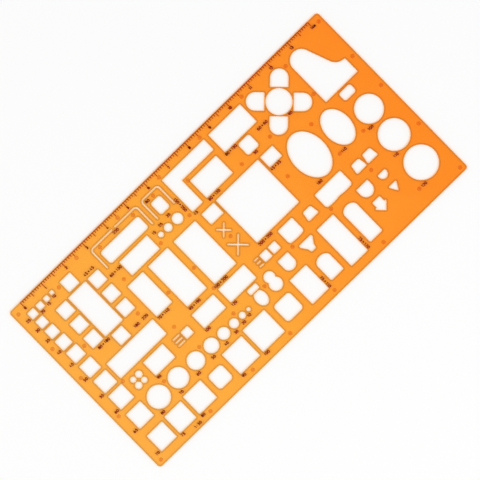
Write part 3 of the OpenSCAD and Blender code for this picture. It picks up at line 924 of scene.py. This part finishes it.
@dataclass
class InkRisers:
    """The low round feet under the sheet: one form, set wherever the frame has a riser."""

    node: str = "ink_risers"
    foot_radius: float = 1.1 * MM
    root_radius: float = 1.495 * MM
    foot_round: float = 0.12 * MM
    seat_gap: float = 0.005 * MM
    sides: int = 40
    rows: int = 8

    def centres(self) -> list[Vector]:
        """Find the middle of each riser of the frame, as points on the ground."""
        sums = [(sum(island, Vector()), len(island)) for island in islands(self.node)]
        return [Vector((total.x / count, total.y / count, 0.0)) for total, count in sums]

    def tree(self) -> NodeTree:
        """Make the geometry tree that turns each point into a riser.

        Returns:
            The geometry tree.
        """
        tree = group_tree(
            "riser_field",
            "GeometryNodeTree",
            {
                "Geometry": ("NodeSocketGeometry",),
                "Foot Radius": ("NodeSocketFloat",),
                "Root Radius": ("NodeSocketFloat",),
                "Foot Round": ("NodeSocketFloat",),
                "Height": ("NodeSocketFloat",),
                "Material": ("NodeSocketMaterial",),
            },
            {"Geometry": "NodeSocketGeometry"},
        )
        given = tree.add("NodeGroupInput", {}).outputs
        cone = tree.add(
            "GeometryNodeMeshCone",
            {
                "Vertices": self.sides,
                "Side Segments": self.rows,
                "Fill Segments": 1,
                "Radius Top": given["Root Radius"],
                "Radius Bottom": given["Foot Radius"],
                "Depth": given["Height"],
            },
            fill_type="TRIANGLE_FAN",
        )
        position = tree.add("GeometryNodeInputPosition", {}).outputs[0]
        height = tree.add("ShaderNodeSeparateXYZ", {0: position}).outputs["Z"]
        below = tree.math("SUBTRACT", given["Foot Round"], height)
        inside = tree.math("MAXIMUM", tree.math("DIVIDE", below, given["Foot Round"]), 0.0)
        rest = tree.math("SUBTRACT", 1.0, tree.math("POWER", inside, 2.0), clamp=True)
        circle = tree.math("SQRT", rest)
        pull = tree.math("MULTIPLY", tree.math("SUBTRACT", 1.0, circle), given["Foot Round"])
        share = tree.math("SUBTRACT", 1.0, tree.math("DIVIDE", pull, given["Foot Radius"]))
        scale = tree.add("ShaderNodeCombineXYZ", {"X": share, "Y": share, "Z": 1.0})
        placed = tree.multiply(position, scale.outputs[0])
        rounded = tree.add(
            "GeometryNodeSetPosition", {"Geometry": cone.outputs["Mesh"], "Position": placed}
        )
        points = tree.add("GeometryNodeMeshToPoints", {"Mesh": given["Geometry"]})
        field = tree.add(
            "GeometryNodeInstanceOnPoints",
            {"Points": points.outputs[0], "Instance": rounded.outputs[0]},
        )
        return dressed(tree, field.outputs[0], given["Material"])

    def build(self, finish: Material) -> Object:
        """Set every riser.

        Args:
            finish: Their material.

        Returns:
            The piece.
        """
        low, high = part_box(self.node)
        mesh = bpy.data.meshes.new("riser_points")
        mesh.from_pydata([tuple(centre) for centre in self.centres()], [], [])
        source = new_object("riser_points", mesh)
        values = {
            "Foot Radius": self.foot_radius,
            "Root Radius": self.root_radius,
            "Foot Round": self.foot_round,
            "Height": high.z - low.z - self.seat_gap,
            "Material": finish,
        }
        give_modifier(source, self.tree(), values)
        return baked(source, "ink_riser_dots")


def arc(centre: Point, radii: Point, start: float, end: float, steps: int = 10) -> list[Point]:
    """Find points along an oval arc.

    Args:
        centre: Its middle.
        radii: Its radius across and up.
        start: The angle that it starts at, in degrees.
        end: The angle that it ends at, in degrees.
        steps: How many straight steps stand for it.

    Returns:
        The points.
    """
    (x, y), (across, up) = centre, radii
    turns = [math.radians(start + (end - start) * step / steps) for step in range(steps + 1)]
    return [(x + across * math.cos(turn), y + up * math.sin(turn)) for turn in turns]


class StrokeFigures:
    """Plain stroke figures for the print, one unit high. Some have more or less room on both sides."""

    width = 0.56
    space = 0.27
    room = {"x": 0.2, "1": -0.1}
    figures: dict[str, list[list[Point]]] = {
        "0": [arc((0.28, 0.5), (0.28, 0.5), 90, 450, 16)],
        "1": [[(0.10, 0.78), (0.34, 1.0), (0.34, 0.0)]],
        "2": [arc((0.28, 0.72), (0.28, 0.28), 170, -35) + [(0.0, 0.0), (0.56, 0.0)]],
        "3": [arc((0.27, 0.75), (0.25, 0.25), 150, -90), arc((0.27, 0.26), (0.29, 0.26), 90, -150)],
        "4": [[(0.40, 1.0), (0.0, 0.28), (0.56, 0.28)], [(0.42, 0.5), (0.42, 0.0)]],
        "5": [[(0.50, 1.0), (0.08, 1.0), (0.04, 0.55)] + arc((0.26, 0.33), (0.29, 0.33), 130, -150)],
        "6": [arc((0.28, 0.30), (0.28, 0.30), 90, 450, 14), arc((0.50, 0.36), (0.50, 0.64), 100, 180, 6)],
        "7": [[(0.0, 1.0), (0.56, 1.0), (0.18, 0.0)]],
        "8": [arc((0.28, 0.75), (0.24, 0.25), 90, 450, 12), arc((0.28, 0.27), (0.28, 0.27), 90, 450, 14)],
        "9": [arc((0.28, 0.70), (0.28, 0.30), 90, 450, 14), arc((0.06, 0.64), (0.50, 0.64), -80, 0, 6)],
        "x": [[(0.08, 0.25), (0.48, 0.75)], [(0.08, 0.75), (0.48, 0.25)]],
        ":": [[(0.28, 0.2), (0.28, 0.34)], [(0.28, 0.62), (0.28, 0.76)]],
        "m": [
            [(0.0, 0.0), (0.0, 0.65)],
            arc((0.14, 0.48), (0.14, 0.17), 180, 0, 5) + [(0.28, 0.0)],
            arc((0.42, 0.48), (0.14, 0.17), 180, 0, 5) + [(0.56, 0.0)],
        ],
    }

    @classmethod
    def strokes(cls, text: str) -> list[list[Point]]:
        """Lay out a line of figures, centred on its middle.

        Args:
            text: The figures.

        Returns:
            The lines that draw them.
        """
        rooms = [cls.room.get(figure, 0.0) for figure in text]
        start = -(len(text) * (cls.width + cls.space) - cls.space) / 2 - sum(rooms)
        strokes = []
        for figure, room in zip(text, rooms):
            start += room
            strokes += [[(start + x, y - 0.5) for x, y in stroke] for stroke in cls.figures[figure]]
            start += cls.width + cls.space + room
        return strokes


@dataclass(frozen=True)
class Label:
    """One printed number, with its place in metres of the ruler: along it, and down from its edge."""

    text: str
    along: float
    down: float
    turn: Turn = Turn.ALONG


@dataclass(kw_only=True)
class PrintedLines:
    """Lines of ink on the sheet, all of one width."""

    name: str
    line: float = 0.62 * MM
    film: float = 0.04 * MM

    def tree(self) -> NodeTree:
        """Make the geometry tree that gives each line its width and its film of ink.

        Returns:
            The geometry tree.
        """
        tree = group_tree(
            f"{self.name}_lines",
            "GeometryNodeTree",
            {
                "Geometry": ("NodeSocketGeometry",),
                "Line Width": ("NodeSocketFloat",),
                "Film": ("NodeSocketFloat",),
                "Material": ("NodeSocketMaterial",),
            },
            {"Geometry": "NodeSocketGeometry"},
        )
        given = tree.add("NodeGroupInput", {}).outputs
        upright = tree.add("GeometryNodeSetCurveNormal", {"Curve": given["Geometry"]}, mode="Z_UP")
        profile = tree.add(
            "GeometryNodeCurvePrimitiveQuadrilateral",
            {"Width": given["Line Width"], "Height": given["Film"]},
        )
        lines = tree.add(
            "GeometryNodeCurveToMesh",
            {"Curve": upright.outputs[0], "Profile Curve": profile.outputs[0], "Fill Caps": True},
        )
        return dressed(tree, lines.outputs[0], given["Material"])

    def strokes(self) -> Iterator[list[Point]]:
        """Find the points of each line on the plan."""
        raise NotImplementedError

    def build(self, finish: Material) -> Object:
        """Print the lines.

        Args:
            finish: The ink.

        Returns:
            The piece.
        """
        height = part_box(SHEET_NODE)[1].z + self.film / 2
        curve = bpy.data.curves.new(self.name, "CURVE")
        curve.dimensions = "3D"
        for stroke in self.strokes():
            spline = curve.splines.new("POLY")
            spline.points.add(len(stroke) - 1)
            for point, place in zip(spline.points, stroke):
                point.co = (*place, height, 1.0)
        source = new_object(f"{self.name}_strokes", curve)
        values = {"Line Width": self.line, "Film": self.film, "Material": finish}
        give_modifier(source, self.tree(), values)
        return baked(source, self.name)


@dataclass(kw_only=True)
class RulerMarks(PrintedLines):
    """The ruler's marks in their printed width, with how much longer each kind is than in the frame."""

    longer: dict[str, float]

    def strokes(self) -> Iterator[list[Point]]:
        """Find the two ends of each mark of the frame.

        Yields:
            The ends of each.
        """
        for node, more in self.longer.items():
            for island in islands(node):
                middle = sum(point.x for point in island) / len(island)
                ends = [point.y for point in island]
                yield [(middle, max(ends)), (middle, min(ends) - more)]


MARKS_LONGER = {
    METRE_MARKS_NODE: 0.0,
    "scale_half_metre_ticks": 0.5 * MM,
    "scale_decimetre_ticks": 0.0,
}


@dataclass(kw_only=True)
class PrintedNumbers(PrintedLines):
    """A set of numbers printed on the sheet."""

    labels: Sequence[Label]
    height: float
    register: Point = (0.0, 0.0)
    stretch: float = 1.18
    metre: float = 20.0 * MM

    def origin(self) -> Vector:
        """Find the ruler's zero on the top edge of the sheet, from the reach of the frame's metre marks.

        Returns:
            The point on the plan.
        """
        marks_low, marks_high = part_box(METRE_MARKS_NODE)
        middle = (marks_low.x + marks_high.x) / 2
        metres = round((marks_high.x - marks_low.x) / self.metre)
        return Vector((middle - metres * self.metre / 2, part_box(SHEET_NODE)[1].y))

    def strokes(self) -> Iterator[list[Point]]:
        """Set every figure's lines in their place.

        Yields:
            The points of each line.
        """
        origin = self.origin()
        for label in self.labels:
            turn = math.radians(label.turn.value)
            cosine, sine = math.cos(turn), math.sin(turn)
            place = Vector((label.along + self.register[0], -label.down - self.register[1]))
            centre = origin + place * self.metre
            for stroke in StrokeFigures.strokes(label.text):
                sized = [Vector((x * self.stretch, y)) * self.height for x, y in stroke]
                yield [
                    (
                        centre.x + point.x * cosine - point.y * sine,
                        centre.y + point.x * sine + point.y * cosine,
                    )
                    for point in sized
                ]


RULER_METRES = 14
NUMERALS_DOWN = 0.278
TWO_FIGURES_BACK = 0.02
UNIT_FORWARD = 0.03
RULER_LABELS = [
    Label(str(metre), metre - (TWO_FIGURES_BACK if metre > 9 else 0.0), NUMERALS_DOWN)
    for metre in range(RULER_METRES)
] + [Label(f"{RULER_METRES}m", RULER_METRES + UNIT_FORWARD, NUMERALS_DOWN)]


def run_of_labels(texts: str, along: Sequence[float], down: Sequence[float]) -> list[Label]:
    """Make a run of labels from lists of their texts and places.

    Args:
        texts: The texts, parted by spaces.
        along: How far along the ruler each is.
        down: How far down from the ruler's edge each is.

    Returns:
        The labels.
    """
    return [Label(text, x, y) for text, x, y in zip(texts.split(), along, down)]


SIZE_LABELS = (
    run_of_labels(
        "25 30 35 40 45 50 55 60 65 70",
        [-0.225] * 10,
        [0.685, 1.15, 1.65, 2.215, 2.83, 3.535, 4.345, 5.09, 6.035, 7.13],
    )
    + run_of_labels("20 15 10", [0.365, 0.705, 1.015], [0.805, 0.755, 0.695])
    + run_of_labels(
        "80 70 60 50 40 30 20 10",
        [0.91, 1.86, 2.75, 3.52, 4.17, 4.695, 5.12, 5.43],
        [6.24, 6.19, 6.14, 6.095, 6.07, 6.02, 5.97, 5.915],
    )
    + run_of_labels("75 80 90 100", [0.87, 1.85, 3.84, 4.955], [7.285] * 4)
    + run_of_labels("15 25 35", [5.055, 5.41, 5.84], [1.545, 1.5, 1.445])
    + run_of_labels("90 100 120", [1.68, 4.05, 5.345], [5.26] * 3)
    + run_of_labels("100 110 120", [13.025, 12.995, 12.985], [4.195, 5.495, 6.915])
    + [
        Label("1:50", 1.49, 7.4),
        Label("45x45", 2.49, 0.91),
        Label("80x180", 1.115, 3.08),
        Label("180", 2.38, 3.42),
        Label("220", 2.785, 3.415),
        Label("220", 4.145, 0.565),
        Label("80", 5.665, 0.59),
        Label("60x130", 3.165, 1.565),
        Label("150x200", 6.4, 1.48, Turn.DOWN),
        Label("45", 6.59, 2.065),
        Label("80x120", 7.49, 2.065),
        Label("80x150", 9.0, 1.35),
        Label("50", 9.565, 2.0),
        Label("60x60", 10.38, 1.495),
        Label("90", 11.375, 1.875),
        Label("70x140", 3.315, 3.8),
        Label("90x190", 4.33, 4.32),
        Label("100x200", 5.53, 4.4),
        Label("200x200", 7.69, 4.41),
        Label("45x55", 9.735, 2.825),
        Label("180", 10.43, 4.31),
        Label("140", 11.815, 4.095),
        Label("75x110", 8.15, 6.94, Turn.DOWN),
        Label("75x170", 10.065, 6.9, Turn.DOWN),
    ]
)


@dataclass(frozen=True)
class SoftLamp:
    """A square soft lamp that points at the object. Its size is in metres, its power in watts."""

    name: str
    place: tuple[float, float, float]
    size: float
    power: float

    def hang(self) -> None:
        """Put the lamp into the scene."""
        light = bpy.data.lights.new(self.name, "AREA")
        light.size = self.size
        light.energy = self.power
        lamp = new_object(self.name, light)
        lamp.location = self.place
        lamp.rotation_euler = (-Vector(self.place)).to_track_quat("-Z", "Y").to_euler()


@dataclass
class Studio:
    """The pale floor, the soft lamps, the white surroundings and the camera."""

    lamps: tuple[SoftLamp, ...] = (
        SoftLamp("key_lamp", place=(0.6, -1.65, 3.0), size=1.6, power=41.5),
        SoftLamp("fill_lamp", place=(-1.7, 1.2, 3.0), size=2.0, power=35.0),
    )
    floor_radius: float = 4.0
    floor_sides: int = 96
    floor_drop: float = 0.01 * MM
    world_light: float = 0.48
    ceiling: float = 0.15
    ceiling_rise: Point = (0.5, 0.9)
    view_width: float = 334.84 * MM
    view_distance: float = 1500.0 * MM
    view_turn: float = -44.31
    view_centre: Point = (0.797 * MM, -0.704 * MM)
    sensor: float = 36.0

    def floor(self) -> None:
        """Lay the floor just under the risers."""
        mesh = bpy.data.meshes.new("floor")
        disc = bmesh.new()
        bmesh.ops.create_circle(disc, cap_ends=True, segments=self.floor_sides, radius=self.floor_radius)
        bmesh.ops.translate(disc, verts=disc.verts[:], vec=(0.0, 0.0, -self.floor_drop))
        disc.to_mesh(mesh)
        disc.free()
        floor = new_object("floor", mesh)
        mesh.materials.append(PaleFloor().build())

    def surroundings(self) -> None:
        """Light the scene evenly, white at the horizon for the eye and dimmer overhead."""
        world = bpy.data.worlds.new("surroundings")
        world.use_nodes = True
        bpy.context.scene.world = world
        tree = Tree(world.node_tree)
        toward = tree.add("ShaderNodeTexCoord", {}).outputs["Generated"]
        upward = tree.add("ShaderNodeSeparateXYZ", {0: toward}).outputs["Z"]
        start, end = self.ceiling_rise
        seen_strength = tree.add(
            "ShaderNodeMapRange",
            {"Value": upward, "From Min": start, "From Max": end, "To Min": 1.0, "To Max": self.ceiling},
            interpolation_type="SMOOTHSTEP",
        ).outputs[0]
        path = tree.add("ShaderNodeLightPath", {}).outputs
        seen = tree.math("MAXIMUM", path["Is Camera Ray"], path["Is Glossy Ray"])
        seen = tree.math("MAXIMUM", seen, path["Is Transmission Ray"])
        rise = tree.math("SUBTRACT", seen_strength, self.world_light)
        strength = tree.math("MULTIPLY_ADD", seen, rise, self.world_light)
        light = tree.add("ShaderNodeBackground", {"Color": (1.0, 1.0, 1.0, 1.0), "Strength": strength})
        tree.add("ShaderNodeOutputWorld", {"Surface": light.outputs[0]})

    def camera(self) -> None:
        """Look straight down at the sheet, turned as the photo shows it."""
        data = bpy.data.cameras.new("camera")
        data.sensor_width = self.sensor
        data.lens = self.sensor * self.view_distance / self.view_width
        camera = new_object("camera", data)
        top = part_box(SHEET_NODE)[1].z
        camera.location = (*self.view_centre, top + self.view_distance)
        camera.rotation_euler = (0.0, 0.0, math.radians(self.view_turn))
        bpy.context.scene.camera = camera

    def build(self) -> None:
        """Set the whole studio up."""
        bpy.context.scene.view_settings.view_transform = "Standard"
        self.floor()
        for lamp in self.lamps:
            lamp.hang()
        self.surroundings()
        self.camera()


def main() -> None:
    """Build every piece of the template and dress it."""
    logging.basicConfig(level=logging.INFO, format="%(message)s")
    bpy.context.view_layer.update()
    Studio().build()
    effects = Effects(PlasticClouds().build(), HandlingMarks().build())
    number_ink = NUMBER_INK.build(effects)
    line_ink = LINE_INK.build(effects)
    sheet = TemplateSheet()
    seat(sheet.build(SHEET_PLASTIC.build(effects)), Slot.SHEET, [sheet.node])
    risers = InkRisers()
    seat(risers.build(SHADED_RISER_PLASTIC.build(effects)), Slot.RISER, [risers.node])
    marks = RulerMarks(name="ruler_marks", line=0.55 * MM, longer=MARKS_LONGER)
    seat(marks.build(line_ink), Slot.PRINT, list(MARKS_LONGER))
    numbers = PrintedNumbers(
        name="ruler_numbers", labels=RULER_LABELS, height=1.66 * MM, stretch=1.08, line=0.82 * MM
    )
    seat(numbers.build(number_ink), Slot.PRINT)
    sizes = PrintedNumbers(
        name="printed_sizes", labels=SIZE_LABELS, height=1.74 * MM, register=(-0.015, 0.0)
    )
    seat(sizes.build(number_ink), Slot.PRINT)
    base_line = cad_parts[BASE_LINE_NODE].data
    base_line.materials.clear()
    base_line.materials.append(line_ink)
    LOG.info("%s: printed", BASE_LINE_NODE)


if __name__ == "__main__":
    main()
